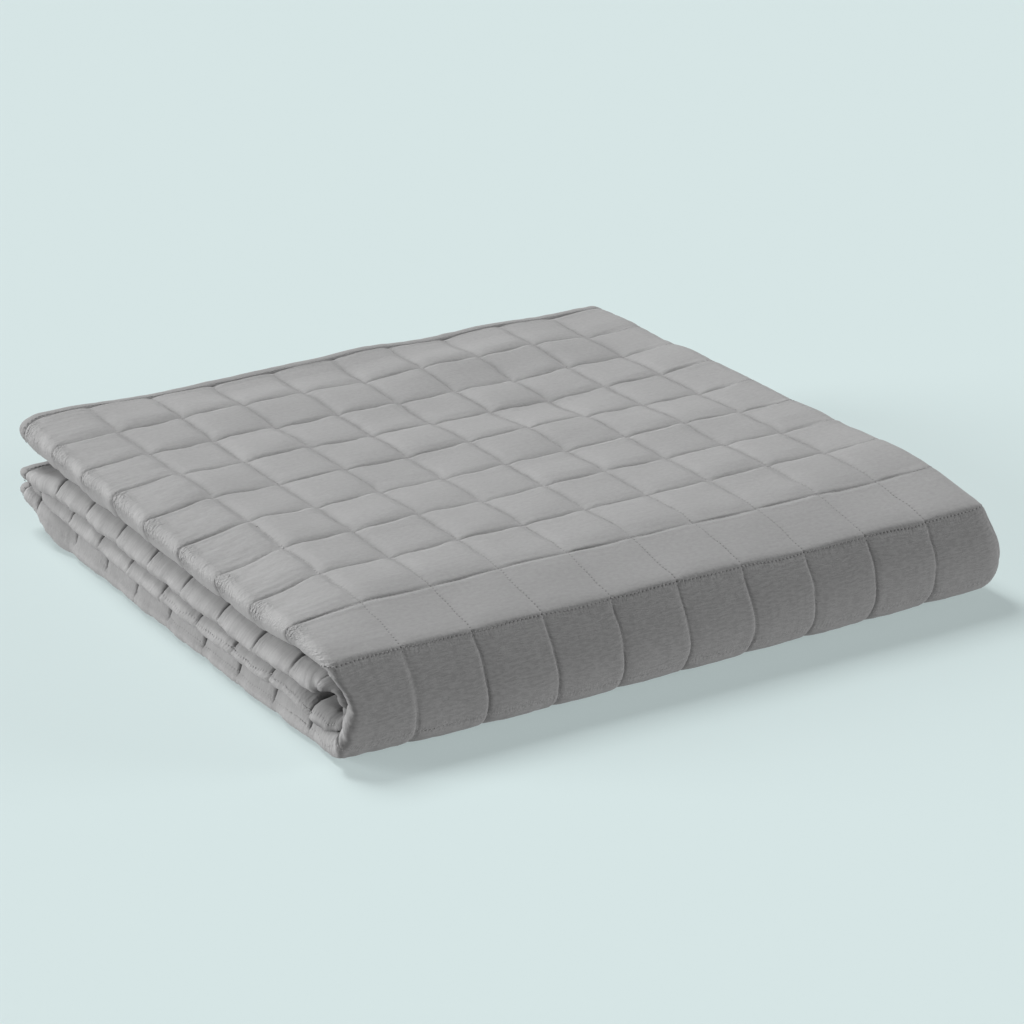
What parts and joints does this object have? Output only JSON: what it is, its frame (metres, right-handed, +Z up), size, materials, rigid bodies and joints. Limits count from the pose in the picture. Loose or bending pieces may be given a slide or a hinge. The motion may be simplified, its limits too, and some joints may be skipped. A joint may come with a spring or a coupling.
{
  "type": "folded quilted sheet",
  "caption": "Soft quilted sheet with bound edges, stitched in a grid of squares and folded into a flat square pack that lies on a table or shelf.",
  "frame": {"origin": "on the table under the middle of the folded pack", "axes": "+Z up from the table, +X along the front bend from left to right, +Y back towards the loose ends"},
  "size_m": [0.5134, 0.487, 0.0822],
  "materials": {
    "quilted_cloth": "matt grey crinkled cloth with a fine slub, quilted in squares",
    "binding_cloth": "matt grey folded strip, a little darker than the cloth"
  },
  "bodies": {
    "root": {"quilt": "quilted_cloth", "binding_top_end": "binding_cloth", "binding_bottom_end": "binding_cloth", "binding_outer_side": "binding_cloth", "binding_inner_side": "binding_cloth"}
  },
  "joints": []
}
